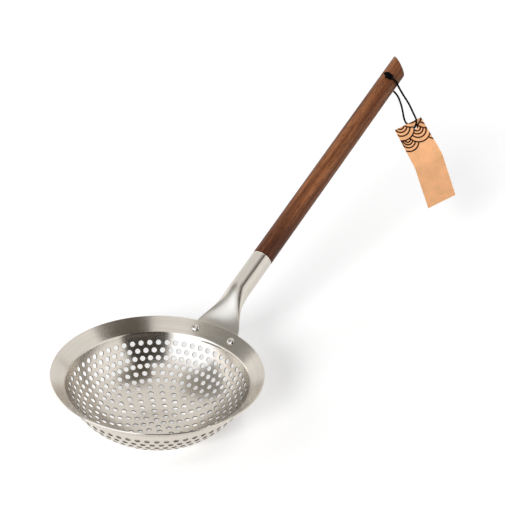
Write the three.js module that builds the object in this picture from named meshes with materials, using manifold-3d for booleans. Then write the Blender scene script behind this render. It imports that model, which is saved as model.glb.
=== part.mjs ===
// Perforated skimmer: a pressed steel bowl riveted to a rolled steel socket, with a round
// wooden handle, a hanging cord and a card tag. Millimetres, +Z up. The bowl stands on its
// flat bottom at the origin and the handle runs out along +X.
import * as THREE from 'three';
import { mergeVertices } from 'three/addons/utils/BufferGeometryUtils.js';
import Module from 'manifold-3d';

const deg = THREE.MathUtils.degToRad;
const smooth = THREE.MathUtils.smoothstep;
const lerp = THREE.MathUtils.lerp;

// Gap left between neighbouring pieces
const CLEARANCE = 0.3;

// Bowl: sheet metal, measured on its inner face
const RIM_RADIUS = 70;
const FLANGE_WIDTH = 9.3;
const FLANGE_RISE = 7.9;
const FLAT_RADIUS = 12.5;
const WALL_ANGLE = deg(70);
const BOWL_SHEET = 1.0;
const RIM_SEGMENTS = 72;

// Holes: rings follow the wall from the crease under the flange to the middle
const HOLE_DIAMETER = 3.4;
const HOLE_SIDES = 5;
const FIRST_RING = 6.98;
const RING_PITCH = 5.34;
const WALL_RING_HOLES = [60, 60, 60, 60, 45, 45];
const FLOOR_RING_STEP = 4;
const HOLE_WEB = 0.6;
const CENTRE_LAND = 2.2;

// Handle and its socket
const HANDLE_SLOPE = deg(24.7);
const HANDLE_DIAMETER = 15.1;
const HANDLE_END = 265.7;
const END_SLANT = deg(37.5);
const TENON_LENGTH = 27;
const BORE_DIAMETER = 3;
const BORE_FROM_END = 18.1;
const SOCKET_END = 58.8;
const SOCKET_SHEET = 1.1;
const TUBE_START = 29;
const FLAT_END = 3;
const TAB_WIDTH = 40;
const PRESS_SPREAD = 3;
const DIMPLE_SHARE = 0.15;
const TAB_BEND = 24;
const HOLLOW_START = 20;
const SEAM_ANGLE = deg(34);
const SEAM_FOOT = 9;
const SEAM_WIDTH = 0.8;

// Rivets through the flange and the tab
const RIVET_INSET = 5.3;
const RIVET_SHANK = 2.6;
const RIVET_HEAD = 6;
const RIVET_DOME = 1.3;
const RIVET_TAIL = 0.9;

// Cord, knot and tag
const CORD_DIAMETER = 1.6;
const KNOT_DIAMETER = 5.2;
const KNOT_HEIGHT = 4;
const KNOT_ALONG = -1.9;
const KNOT_LEAN = deg(18);
const TAG_WIDTH = 24.4;
const TAG_TAPER = 1.2;
const TAG_UPPER = 29.1;
const TAG_LOWER = 44.1;
const TAG_BEND = deg(40.8);
const TAG_BEND_RADIUS = 12;
const TAG_CARD = 0.5;
const TAG_HOLE = 2.6;
const TAG_HOLE_DROP = 5;
const TAG_HOLE_SIDE = 3;
const TAG_PLACE = new THREE.Vector3(-3.05, -19.68, -40.04);
const TAG_TURN = new THREE.Euler(deg(-56.95), deg(-2.04), deg(-34.9), 'ZYX');

// Sizes that follow from the ones above
const FLANGE_ANGLE = Math.atan2(FLANGE_RISE, FLANGE_WIDTH);
const CREASE_RADIUS = RIM_RADIUS - FLANGE_WIDTH;
const WALL_RADIUS = (CREASE_RADIUS - FLAT_RADIUS) / Math.sin(WALL_ANGLE);
const CREASE_Z = BOWL_SHEET + WALL_RADIUS * (1 - Math.cos(WALL_ANGLE));
const RIM_Z = CREASE_Z + FLANGE_RISE;
const TAB_TOP = RIM_Z - (BOWL_SHEET + CLEARANCE) / Math.cos(FLANGE_ANGLE);
const HANDLE_RADIUS = HANDLE_DIAMETER / 2;
const RIVET_SPACING = TAB_WIDTH - 2 * RIVET_INSET;
const AXIS_Z = TAB_TOP + (HANDLE_RADIUS - SOCKET_SHEET) / Math.cos(HANDLE_SLOPE);

const wasm = await Module();
wasm.setup();

// A closed surface as a body that can be cut.
function toSolid(geometry) {
  const plain = geometry.clone();
  plain.deleteAttribute('normal');
  plain.deleteAttribute('uv');
  const welded = mergeVertices(plain, 1e-4);
  const mesh = new wasm.Mesh({
    numProp: 3,
    vertProperties: new Float32Array(welded.attributes.position.array),
    triVerts: new Uint32Array(welded.index.array),
  });
  return new wasm.Manifold(mesh);
}

// A cut body back as drawable geometry.
function toGeometry(solid) {
  const mesh = solid.getMesh();
  const geometry = new THREE.BufferGeometry();
  geometry.setAttribute('position', new THREE.BufferAttribute(new Float32Array(mesh.vertProperties), 3));
  geometry.setIndex(new THREE.BufferAttribute(new Uint32Array(mesh.triVerts), 1));
  geometry.computeVertexNormals();
  return geometry;
}

// The geometry with each of the tool shapes cut out of it.
function cut(geometry, tools) {
  let solid = toSolid(geometry);
  for (const tool of tools) {
    solid = solid.subtract(toSolid(tool));
  }
  return toGeometry(solid);
}

// Indexed geometry from points and triangles.
function surface(points, triangles) {
  const geometry = new THREE.BufferGeometry();
  geometry.setFromPoints(points);
  geometry.setIndex(triangles);
  geometry.computeVertexNormals();
  return geometry;
}

// A body turned about +Z from a profile of [radius, height] pairs, closed at both ends.
function turned(profile, sides) {
  const points = [];
  const triangles = [];
  for (const [radius, z] of profile) {
    for (let k = 0; k < sides; k += 1) {
      const turn = 2 * Math.PI * k / sides;
      points.push(new THREE.Vector3(radius * Math.cos(turn), radius * Math.sin(turn), z));
    }
  }
  const top = (profile.length - 1) * sides;
  const foot = points.length;
  points.push(new THREE.Vector3(0, 0, profile[0][1]));
  points.push(new THREE.Vector3(0, 0, profile[profile.length - 1][1]));
  for (let k = 0; k < sides; k += 1) {
    const next = (k + 1) % sides;
    triangles.push(foot, next, k);
    triangles.push(foot + 1, top + k, top + next);
    for (let row = 0; row < top; row += sides) {
      triangles.push(row + k, row + next, row + sides + next);
      triangles.push(row + k, row + sides + next, row + sides + k);
    }
  }
  return surface(points, triangles);
}

// Skin over a row of closed sections that are each mirrored about their own first point, with
// the ends closed by strips between the mirrored points.
function skin(sections) {
  const count = sections[0].length;
  const half = count / 2;
  const points = sections.flat();
  const triangles = [];
  for (let i = 0; i + 1 < sections.length; i += 1) {
    for (let j = 0; j < count; j += 1) {
      const a = i * count + j;
      const b = i * count + (j + 1) % count;
      triangles.push(a, b, a + count, b, b + count, a + count);
    }
  }
  const last = (sections.length - 1) * count;
  for (let j = 0; j < half; j += 1) {
    const upper = [j, j + 1];
    const lower = [(count - j) % count, count - j - 1];
    if (j > 0) {
      triangles.push(upper[0], lower[0], upper[1]);
      triangles.push(last + upper[0], last + upper[1], last + lower[0]);
    }
    if (j < half - 1) {
      triangles.push(upper[1], lower[0], lower[1]);
      triangles.push(last + upper[1], last + lower[1], last + lower[0]);
    }
  }
  return surface(points, triangles);
}

// Inner face of the bowl at arc length s below the crease: radius, height and tilt of the sheet.
function wallAt(s) {
  const arc = WALL_RADIUS * WALL_ANGLE;
  if (s >= arc) {
    return { r: FLAT_RADIUS - (s - arc), z: BOWL_SHEET, tilt: 0 };
  }
  const tilt = WALL_ANGLE - s / WALL_RADIUS;
  const r = FLAT_RADIUS + WALL_RADIUS * Math.sin(tilt);
  const z = BOWL_SHEET + WALL_RADIUS * (1 - Math.cos(tilt));
  return { r, z, tilt };
}

// Places of the hole rings from the crease inwards, with how many holes each ring holds.
function holeRings() {
  const rings = [];
  const least = HOLE_DIAMETER / 2 + CENTRE_LAND;
  for (let s = FIRST_RING; wallAt(s).r > least; s += RING_PITCH) {
    rings.push({ s, ...wallAt(s) });
  }
  rings.forEach((ring, i) => {
    const onWall = i < WALL_RING_HOLES.length;
    const wanted = onWall ? WALL_RING_HOLES[i] : FLOOR_RING_STEP * (rings.length - i);
    const room = Math.floor(2 * Math.PI * ring.r / (HOLE_DIAMETER + HOLE_WEB));
    ring.count = Math.max(3, Math.min(wanted, room));
    const step = 2 * Math.PI / ring.count;
    ring.start = onWall ? (i % 2) * step / 2 : Math.PI / 4;
  });
  return rings;
}

// The bowl: two faces of triangle strips that run between rings of holes, joined through the
// holes and along the rim's edge.
function bowlGeometry() {
  const points = [];
  const triangles = [];
  // A point of the sheet is kept twice: on the inner face, then on the outer face.
  const addPoint = (place, azimuth) => {
    const stretch = place.stretch ?? 1;
    const sin = Math.sin(place.tilt) * BOWL_SHEET * stretch;
    const cos = Math.cos(place.tilt) * BOWL_SHEET * stretch;
    const x = Math.cos(azimuth);
    const y = Math.sin(azimuth);
    points.push(new THREE.Vector3(place.r * x, place.r * y, place.z));
    points.push(new THREE.Vector3((place.r + sin) * x, (place.r + sin) * y, place.z - cos));
    return { index: points.length - 2, azimuth };
  };
  const circle = (place, count) => Array.from({ length: count }, (_, k) => (
    addPoint(place, 2 * Math.PI * k / count)));
  const addFace = (a, b, c) => {
    triangles.push(a.index, b.index, c.index);
    triangles.push(a.index + 1, c.index + 1, b.index + 1);
  };
  const span = (a, b) => points[a.index].distanceTo(points[b.index]);
  // Whether a triangle looks into the bowl.
  const looksIn = (a, b, c) => {
    const [p, q, r] = [a, b, c].map((corner) => points[corner.index]);
    const normal = q.clone().sub(p).cross(r.clone().sub(p));
    return normal.dot(p.clone().sub(points[a.index + 1])) > 1e-3;
  };
  // Strip between two loops: the shortest row of diagonals with every triangle looking in.
  const addStrip = (outer, inner) => {
    const turn = (p) => Math.abs(THREE.MathUtils.euclideanModulo(
      p.azimuth - outer[0].azimuth + Math.PI, 2 * Math.PI) - Math.PI);
    let first = 0;
    inner.forEach((p, k) => {
      first = turn(p) < turn(inner[first]) ? k : first;
    });
    const outerAt = (i) => outer[i % outer.length];
    const innerAt = (j) => inner[(first + j) % inner.length];
    const columns = inner.length + 1;
    const cost = [0];
    const byOuter = [false];
    for (let i = 0; i <= outer.length; i += 1) {
      for (let j = i === 0 ? 1 : 0; j <= inner.length; j += 1) {
        const here = i * columns + j;
        const outerStep = i > 0 && looksIn(outerAt(i - 1), outerAt(i), innerAt(j));
        const innerStep = j > 0 && looksIn(outerAt(i), innerAt(j), innerAt(j - 1));
        const viaOuter = outerStep ? cost[here - columns] : Infinity;
        const viaInner = innerStep ? cost[here - 1] : Infinity;
        byOuter[here] = viaOuter < viaInner;
        cost[here] = Math.min(viaOuter, viaInner) + span(outerAt(i), innerAt(j));
      }
    }
    let i = outer.length;
    let j = inner.length;
    while (i > 0 || j > 0) {
      if (j === 0 || (i > 0 && byOuter[i * columns + j])) {
        addFace(outerAt(i - 1), outerAt(i), innerAt(j));
        i -= 1;
      } else {
        addFace(outerAt(i), innerAt(j), innerAt(j - 1));
        j -= 1;
      }
    }
  };
  // Wall through the sheet along a loop that keeps the metal on its left.
  const addEdge = (loop) => {
    loop.forEach((p, k) => {
      const q = loop[(k + 1) % loop.length];
      triangles.push(p.index, p.index + 1, q.index + 1, p.index, q.index + 1, q.index);
    });
  };

  const rim = circle({ r: RIM_RADIUS, z: RIM_Z, tilt: FLANGE_ANGLE }, RIM_SEGMENTS);
  const mitre = (WALL_ANGLE - FLANGE_ANGLE) / 2;
  const creasePlace = {
    r: CREASE_RADIUS,
    z: CREASE_Z,
    tilt: FLANGE_ANGLE + mitre,
    stretch: 1 / Math.cos(mitre),
  };
  const crease = circle(creasePlace, RIM_SEGMENTS);
  addEdge(rim);
  addStrip(rim, crease);

  let above = crease;
  for (const ring of holeRings()) {
    const upper = [];
    const lower = [];
    for (let k = 0; k < ring.count; k += 1) {
      const azimuth = ring.start + 2 * Math.PI * k / ring.count;
      const corners = [];
      for (let c = 0; c < HOLE_SIDES; c += 1) {
        const turn = Math.PI / 2 - 2 * Math.PI * c / HOLE_SIDES;
        const s = ring.s - HOLE_DIAMETER / 2 * Math.sin(turn);
        const swing = -HOLE_DIAMETER / 2 * Math.cos(turn) / ring.r;
        corners.push(addPoint(wallAt(s), azimuth + swing));
      }
      addEdge(corners);
      const byTurn = [...corners].sort((a, b) => a.azimuth - b.azimuth);
      const left = corners.indexOf(byTurn[0]);
      const right = corners.indexOf(byTurn[byTurn.length - 1]);
      for (let c = left; c !== right; c = (c + HOLE_SIDES - 1) % HOLE_SIDES) {
        upper.push(corners[c]);
      }
      upper.push(corners[right]);
      for (let c = left; c !== right; c = (c + 1) % HOLE_SIDES) {
        lower.push(corners[c]);
      }
      lower.push(corners[right]);
    }
    addStrip(above, upper);
    above = lower;
  }
  const middle = circle({ r: CENTRE_LAND * 0.4, z: BOWL_SHEET, tilt: 0 }, 3);
  addStrip(above, middle);
  addFace(middle[0], middle[1], middle[2]);
  return surface(points, triangles);
}

// Seat of a rivet: on the flange's inner face, half way up it, with +Z square to the sheet.
function rivetSeat(side) {
  const seat = new THREE.Group();
  const inner = new THREE.Group();
  const r = RIM_RADIUS - FLANGE_WIDTH / 2;
  seat.rotation.z = side * Math.asin(RIVET_SPACING / 2 / r);
  inner.position.set(r, 0, RIM_Z - FLANGE_RISE / 2);
  inner.rotation.y = -FLANGE_ANGLE;
  seat.add(inner);
  seat.updateMatrixWorld(true);
  return { seat, inner };
}

// Round cutters that open the sheet metal for both rivets.
function rivetHoles() {
  return [1, -1].map((side) => {
    const radius = RIVET_SHANK / 2 + CLEARANCE;
    const cutter = new THREE.CylinderGeometry(radius, radius, 8 * BOWL_SHEET, 12);
    cutter.rotateX(Math.PI / 2);
    cutter.applyMatrix4(rivetSeat(side).inner.matrixWorld);
    return cutter;
  });
}

// A rivet: domed head over the flange, shank through both sheets, flat tail under the tab.
function rivetGeometry() {
  const grip = BOWL_SHEET + CLEARANCE + SOCKET_SHEET;
  const shank = RIVET_SHANK / 2;
  const head = RIVET_HEAD / 2;
  const profile = [
    [head, -grip - CLEARANCE - RIVET_TAIL],
    [head, -grip - CLEARANCE],
    [shank, -grip - CLEARANCE],
    [shank, CLEARANCE],
  ];
  for (const lift of [0, 30, 60, 80].map(deg)) {
    profile.push([head * Math.cos(lift), CLEARANCE + RIVET_DOME * Math.sin(lift)]);
  }
  return turned(profile, 14);
}

// Height of the pressed tab's upper face at radius r from the bowl's middle: it follows the
// flange up to the rim and turns to the handle's slope on the way from there to the tube.
function tabTop(r) {
  const out = r - RIM_RADIUS;
  const share = THREE.MathUtils.clamp(out / TAB_BEND, 0, 1);
  const bent = TAB_BEND * (share ** 3 - share ** 4 / 2) + Math.max(0, out - TAB_BEND);
  return TAB_TOP + out * Math.tan(FLANGE_ANGLE) - bent * (Math.tan(FLANGE_ANGLE) - Math.tan(HANDLE_SLOPE));
}

// Outer face of the socket at length u from the rim along the handle, turned from its +Y side
// over the top: a round tube that is pressed flat towards the bowl, dished on its upper side.
function socketPoint(u, turn) {
  const sin = Math.sin(turn);
  const cos = Math.cos(turn);
  const tube = new THREE.Vector3(u, HANDLE_RADIUS * cos, HANDLE_RADIUS * sin);
  tube.applyAxisAngle(new THREE.Vector3(0, 1, 0), -HANDLE_SLOPE);
  tube.add(new THREE.Vector3(RIM_RADIUS, 0, AXIS_Z));
  const r = RIM_RADIUS + u * Math.cos(HANDLE_SLOPE);
  const spread = HANDLE_RADIUS + PRESS_SPREAD;
  const across = lerp(TAB_WIDTH / 2, spread, smooth(u, tabStart(), HOLLOW_START)) * cos;
  const incline = u < 0 ? FLANGE_ANGLE : HANDLE_SLOPE;
  const sheet = SOCKET_SHEET / Math.cos(incline);
  const level = (THREE.MathUtils.clamp(3 * sin, -1, 1) - 1) / 2;
  const tab = new THREE.Vector3(r * Math.cos(across / r), r * Math.sin(across / r), tabTop(r) + sheet * level);
  const round = smooth(u, FLAT_END, TUBE_START);
  const dish = DIMPLE_SHARE * 4 * round * (1 - round) * Math.max(0, sin) ** 3;
  return tab.lerp(tube, round * (1 - dish));
}

// Length along the handle at which the tab starts, just outside the bowl's wall.
function tabStart() {
  const wall = CREASE_RADIUS + BOWL_SHEET + 2 * CLEARANCE;
  return (wall - RIM_RADIUS) / Math.cos(HANDLE_SLOPE);
}

// The socket's outer face at (u, turn) with its directions: along the turn and outward.
function socketFrame(u, turn) {
  const step = 1e-3;
  const point = socketPoint(u, turn);
  const around = socketPoint(u, turn + step).sub(socketPoint(u, turn - step)).normalize();
  const along = socketPoint(u + step, turn).sub(socketPoint(u - step, turn)).normalize();
  const outward = new THREE.Vector3().crossVectors(around, along).normalize();
  return { point, around, outward };
}

// The socket: outer skin, hollowed for the handle, slit along its seam, drilled for the rivets.
function socketGeometry() {
  const turns = Array.from({ length: 28 }, (_, k) => 2 * Math.PI * k / 28);
  const stations = (from, to, count) => Array.from({ length: count + 1 }, (_, k) => (
    lerp(from, to, k / count)));
  const rows = [
    ...stations(tabStart(), 0, 4),
    ...stations(0, TUBE_START, 16).slice(1),
    SOCKET_END,
  ];
  const outer = skin(rows.map((u) => turns.map((turn) => socketPoint(u, turn))));
  const hollowRows = [...stations(HOLLOW_START, TUBE_START, 6), SOCKET_END + SOCKET_SHEET];
  const hollow = skin(hollowRows.map((u) => turns.map((turn) => {
    const { point, outward } = socketFrame(u, turn);
    return point.addScaledVector(outward, -SOCKET_SHEET);
  })));
  const top = Math.PI / 2;
  const seamRows = [...stations(SEAM_FOOT, TUBE_START, 8), SOCKET_END + SOCKET_SHEET];
  const seam = skin(seamRows.map((u) => {
    const turn = lerp(Math.PI, top + SEAM_ANGLE, smooth(u, SEAM_FOOT - HOLLOW_START / 2, TUBE_START));
    const { point, around, outward } = socketFrame(u, turn);
    const corner = (across, depth) => point.clone()
      .addScaledVector(around, across * SEAM_WIDTH / 2)
      .addScaledVector(outward, depth);
    const deep = -SOCKET_SHEET - CLEARANCE;
    return [corner(-1, deep), corner(-1, 1), corner(1, 1), corner(1, deep)];
  }));
  return cut(outer, [hollow, seam, ...rivetHoles()]);
}

// The handle along +X from the rim: tenon, round body, slanted end, cross bore for the cord.
function handleGeometry() {
  const tenon = HANDLE_RADIUS - SOCKET_SHEET - CLEARANCE;
  const start = SOCKET_END - TENON_LENGTH;
  const shoulder = SOCKET_END + CLEARANCE;
  const blank = turned([
    [tenon - 0.6, start],
    [tenon, start + 0.6],
    [tenon, shoulder],
    [HANDLE_RADIUS, shoulder],
    [HANDLE_RADIUS, HANDLE_END + HANDLE_DIAMETER],
  ], 32);
  blank.rotateZ(Math.PI / 32);
  blank.rotateY(Math.PI / 2);
  const reach = 4 * HANDLE_DIAMETER;
  const slant = new THREE.BoxGeometry(reach, reach, reach);
  slant.translate(reach / 2, 0, 0);
  slant.rotateZ(-END_SLANT);
  slant.translate(HANDLE_END, 0, 0);
  const bore = new THREE.CylinderGeometry(BORE_DIAMETER / 2, BORE_DIAMETER / 2, 2 * HANDLE_DIAMETER, 14);
  bore.rotateX(Math.PI / 2);
  bore.translate(HANDLE_END - BORE_FROM_END, 0, 0);
  return cut(blank, [slant, bore]);
}

// The cord: down from the knot over the handle's side, through the tag, back up the bore.
function cordGeometry() {
  const rest = HANDLE_RADIUS + CORD_DIAMETER / 2 + CLEARANCE;
  const onHandle = (x, lift) => new THREE.Vector3(x, -rest * Math.cos(deg(lift)), rest * Math.sin(deg(lift)));
  const hung = [
    [-1.0, -12.6, -9.2], [-1.9, -16.7, -15.9], [-3.3, -20.3, -23.2], [-4.1, -22.6, -29.0],
    [-4.0, -22.3, -33.0], [-3.8, -21.3, -36.2], [-3.53, -20.29, -38.8], [-3.05, -19.68, -40.04],
    [-2.65, -18.9, -41.2], [-2.55, -17.0, -41.35], [-2.67, -14.6, -40.27], [-2.4, -11.6, -38.6],
    [-0.9, -9.5, -35.9], [1.4, -7.75, -30.7], [2.75, -6.25, -24.3], [3.3, -4.4, -17.75], [2.5, -2.0, -12.2],
    [0.55, -0.35, -8.4], [0.1, -0.05, -5.5],
  ].map((p) => new THREE.Vector3(...p));
  const path = new THREE.CatmullRomCurve3([
    onHandle(-1.5, 51),
    onHandle(-1.1, 34),
    onHandle(-0.6, 12),
    onHandle(-0.1, -9),
    ...hung,
    new THREE.Vector3(0, 0, 0),
    new THREE.Vector3(0, 0, HANDLE_RADIUS),
  ]);
  const section = new THREE.Shape();
  for (let k = 0; k < 8; k += 1) {
    const turn = 2 * Math.PI * k / 8;
    const x = CORD_DIAMETER / 2 * Math.cos(turn);
    const y = CORD_DIAMETER / 2 * Math.sin(turn);
    if (k === 0) {
      section.moveTo(x, y);
    } else {
      section.lineTo(x, y);
    }
  }
  return new THREE.ExtrudeGeometry(section, { steps: 72, extrudePath: path });
}

// The knot as a rounded lump, standing on +Z.
function knotGeometry() {
  const radius = KNOT_DIAMETER / 2;
  const half = KNOT_HEIGHT / 2;
  const profile = [-70, -45, -15, 15, 45, 70].map(deg).map((lift) => (
    [radius * Math.cos(lift), half + half * Math.sin(lift) / Math.sin(deg(70))]));
  return turned(profile, 14);
}

// The card tag hung by its hole at the origin: +X across it, +Y through it, +Z up it. Its
// +X edge leans in towards the top.
function tagGeometry() {
  const top = TAG_HOLE_DROP;
  const fold = top - TAG_UPPER;
  const path = [[0, top, 0], [0, fold, 0]];
  const bends = 5;
  for (let k = 1; k <= bends; k += 1) {
    const turn = TAG_BEND * k / bends;
    path.push([TAG_BEND_RADIUS * (1 - Math.cos(turn)), fold - TAG_BEND_RADIUS * Math.sin(turn), turn]);
  }
  const straight = TAG_LOWER - TAG_BEND_RADIUS * TAG_BEND;
  const [endY, endZ] = path[path.length - 1];
  path.push([endY + straight * Math.sin(TAG_BEND), endZ - straight * Math.cos(TAG_BEND), TAG_BEND]);
  const side = (sign) => path.map(([y, z, turn]) => new THREE.Vector2(
    y + sign * TAG_CARD / 2 * Math.cos(turn), z + sign * TAG_CARD / 2 * Math.sin(turn)));
  const outline = new THREE.Shape([...side(1).reverse(), ...side(-1)]);
  const card = new THREE.ExtrudeGeometry(outline, { depth: TAG_WIDTH, bevelEnabled: false });
  const axes = new THREE.Matrix4().makeBasis(
    new THREE.Vector3(0, 1, 0), new THREE.Vector3(0, 0, 1), new THREE.Vector3(1, 0, 0));
  card.applyMatrix4(axes);
  card.translate(-TAG_WIDTH / 2 - TAG_HOLE_SIDE, 0, 0);
  const spots = card.attributes.position;
  for (let k = 0; k < spots.count; k += 1) {
    if (spots.getX(k) > 0 && spots.getZ(k) > fold + TAG_CARD) {
      spots.setX(k, spots.getX(k) - TAG_TAPER);
    }
  }
  const hole = new THREE.CylinderGeometry(TAG_HOLE / 2, TAG_HOLE / 2, 8 * TAG_CARD, 16);
  hole.translate(0, 0, (CORD_DIAMETER - TAG_HOLE) / 2 + CLEARANCE);
  return cut(card, [hole]);
}

// A named piece with a material of its own.
function piece(name, geometry, color, roughness, metalness) {
  const material = new THREE.MeshStandardMaterial({ color, roughness, metalness });
  const mesh = new THREE.Mesh(geometry, material);
  mesh.name = name;
  return mesh;
}

const skimmer = new THREE.Group();
skimmer.name = 'skimmer';
skimmer.add(piece('bowl', cut(bowlGeometry(), rivetHoles()), 0xb9b3a8, 0.32, 1));
skimmer.add(piece('socket', socketGeometry(), 0xb4aea4, 0.4, 1));
for (const [name, sideSign] of [['rivet_left', 1], ['rivet_right', -1]]) {
  const { seat, inner } = rivetSeat(sideSign);
  inner.add(piece(name, rivetGeometry(), 0xc2bcb2, 0.3, 1));
  skimmer.add(seat);
}

// Everything on the handle is placed along the handle's own axis.
const handleFrame = new THREE.Group();
handleFrame.position.set(RIM_RADIUS, 0, AXIS_Z);
handleFrame.rotation.y = -HANDLE_SLOPE;
handleFrame.add(piece('handle', handleGeometry(), 0x5b3a28, 0.55, 0));
const boreFrame = new THREE.Group();
boreFrame.position.x = HANDLE_END - BORE_FROM_END;
boreFrame.add(piece('hang_cord', cordGeometry(), 0x15130f, 0.9, 0));
const knot = piece('cord_knot', knotGeometry(), 0x171512, 0.9, 0);
knot.geometry.translate(0, 0, HANDLE_RADIUS + CLEARANCE);
knot.position.x = KNOT_ALONG;
knot.rotation.x = KNOT_LEAN;
boreFrame.add(knot);
const tag = piece('tag', tagGeometry(), 0xe0ad7c, 0.85, 0);
tag.position.copy(TAG_PLACE);
tag.setRotationFromEuler(TAG_TURN);
boreFrame.add(tag);
handleFrame.add(boreFrame);
skimmer.add(handleFrame);
export default skimmer;
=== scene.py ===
# %% [markdown]
# # A perforated skimmer, from solids to a picture
# The solids of the skimmer stand in the frame already: a pressed bowl, a rolled socket, two
# rivets, a round handle, a cord and a card tag. They are right in size and place, but plain.
# This lesson replaces each of them with a finer surface and gives it the finish that the real
# one has. All shapes are written in millimetres and scaled to metres as they become meshes.

# %% Load the solids
import bpy
import numpy as np
from mathutils import Matrix
from mathutils.geometry import delaunay_2d_cdt


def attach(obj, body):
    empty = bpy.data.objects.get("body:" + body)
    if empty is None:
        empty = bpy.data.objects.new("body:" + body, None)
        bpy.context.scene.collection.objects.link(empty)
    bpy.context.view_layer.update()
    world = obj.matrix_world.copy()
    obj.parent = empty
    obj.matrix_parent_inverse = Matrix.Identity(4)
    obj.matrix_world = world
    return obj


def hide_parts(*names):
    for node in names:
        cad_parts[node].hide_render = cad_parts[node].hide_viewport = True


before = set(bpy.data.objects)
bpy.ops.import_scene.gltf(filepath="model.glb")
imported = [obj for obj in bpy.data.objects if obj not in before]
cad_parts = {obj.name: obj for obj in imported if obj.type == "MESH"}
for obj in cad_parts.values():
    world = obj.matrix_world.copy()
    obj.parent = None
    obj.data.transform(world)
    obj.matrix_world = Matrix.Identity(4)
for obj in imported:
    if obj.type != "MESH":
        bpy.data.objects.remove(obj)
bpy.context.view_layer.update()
print("solids:", ", ".join(sorted(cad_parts)))

# %% [markdown]
# ## The camera
# A picture of a long thin object is only comparable when the lens and the eye point match.
# The eye point, the direction of view and the picture's up direction were fitted to the rim's
# circle, the rows of holes and the handle's line, so the camera is set from three directions.

# %% Camera
EYE = (-0.665811, -0.489087, 0.588605)
VIEW_RIGHT = (0.54963, -0.83458, 0.03715)
VIEW_UP = (0.38574, 0.29297, 0.87486)
VIEW_BACK = (-0.74102, -0.46652, 0.48296)
SENSOR_MM = 36.0
FOCAL_PIXELS = 1500.0
PICTURE_PIXELS = 506

camera = bpy.data.objects.new("camera", bpy.data.cameras.new("camera"))
camera.data.sensor_width = SENSOR_MM
camera.data.lens = SENSOR_MM * FOCAL_PIXELS / PICTURE_PIXELS
turn = Matrix((VIEW_RIGHT, VIEW_UP, VIEW_BACK)).transposed().to_4x4()
camera.matrix_world = Matrix.Translation(EYE) @ turn
bpy.context.scene.collection.objects.link(camera)
bpy.context.scene.camera = camera
print("lens", round(camera.data.lens, 2), "mm")

# %% [markdown]
# ## Small tools for meshes
# Every piece below is a table of points and a table of faces. A grid of points becomes quads
# by pairing each row with the next, and one function turns the tables into an object, puts it
# on its body and hides the solid that it stands in for.

# %% Mesh tools
MM = 0.001


def quads(index):
    """Quads between neighbouring rows and columns of a table of point numbers."""
    corners = [index[:-1, :-1], index[:-1, 1:], index[1:, 1:], index[1:, :-1]]
    return np.stack(corners, -1).reshape(-1, 4)


def closed(index):
    """The table with its first column repeated at the end, so that its rows become rings."""
    return np.concatenate([index, index[:, :1]], axis=1)


def capped(index):
    """Faces of a closed tube: quads between its rings, and one face over each end."""
    return quads(closed(index)).tolist() + [index[0, ::-1].tolist(), index[-1].tolist()]


def unit(vectors):
    """Vectors scaled to length one."""
    return vectors / np.linalg.norm(vectors, axis=-1, keepdims=True)


def ease(t, start, end):
    """Smooth step: 0 before start, 1 after end, 3s^2 - 2s^3 between."""
    s = np.clip((t - start) / (end - start), 0.0, 1.0)
    return s * s * (3.0 - 2.0 * s)


def make_piece(name, points, faces, material, body, solid, normals=None, blank=None):
    """An object from points in millimetres, riding on a body in place of one of its solids.

    blank is where each point lay in the flat sheet, kept for patterns that follow the surface.
    """
    mesh = bpy.data.meshes.new(name)
    mesh.from_pydata((np.asarray(points) * MM).tolist(), [], faces)
    mesh.polygons.foreach_set("use_smooth", np.ones(len(mesh.polygons), dtype=bool))
    if blank is not None:
        place = mesh.attributes.new("blank", "FLOAT_VECTOR", "POINT")
        place.data.foreach_set("vector", np.asarray(blank, dtype=np.float32).ravel())
    if normals is not None:
        mesh.normals_split_custom_set_from_vertices(unit(normals).tolist())
    mesh.materials.append(material)
    piece = bpy.data.objects.new(name, mesh)
    bpy.context.scene.collection.objects.link(piece)
    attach(piece, body)
    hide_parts(solid)
    print(name, len(points), "points", len(faces), "faces")
    return piece


print("points are in units of", MM, "m")

# %% [markdown]
# ## Small tools for finishes
# A finish is a tree of shader nodes. A few helpers make a node, set its own properties and
# fill or link its sockets. Two effects are shared by several finishes, so they are node groups:
# streaks, which are noise drawn out along one direction, and blotches, the slow uneven sheen
# that handling leaves on any surface.

# %% Finish tools


def fill(tree, sockets, values):
    """Each named socket is linked where a socket is given for it, and set where a value is."""
    for key, value in values.items():
        if isinstance(value, bpy.types.NodeSocket):
            tree.links.new(value, sockets[key])
        else:
            sockets[key].default_value = value


def node(tree, kind, inputs=None, **settings):
    """One shader node with its properties, and its sockets filled or linked."""
    made = tree.nodes.new("ShaderNode" + kind)
    for key, value in settings.items():
        setattr(made, key, value)
    fill(tree, made.inputs, inputs or {})
    return made


def calculate(tree, operation, *values, clamp=False):
    """One step of arithmetic on numbers or sockets."""
    inputs = dict(enumerate(values))
    return node(tree, "Math", inputs, operation=operation, use_clamp=clamp).outputs[0]


def blend(tree, factor, first, second):
    """Colour between first and second."""
    return node(tree, "Mix", {0: factor, 6: first, 7: second}, data_type="RGBA").outputs[2]


def mask(tree, value, low, high):
    """0 where the value is below low, 1 where it is above high, and even between."""
    inputs = {"Value": value, "From Min": low, "From Max": high}
    return node(tree, "MapRange", inputs).outputs[0]


def relief(tree, shader, strength, depth, height):
    """Raised detail, its depth in metres, that turns the shader's normal."""
    inputs = {"Strength": strength, "Distance": depth, "Height": height}
    fill(tree, shader.inputs, {"Normal": node(tree, "Bump", inputs).outputs["Normal"]})


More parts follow.
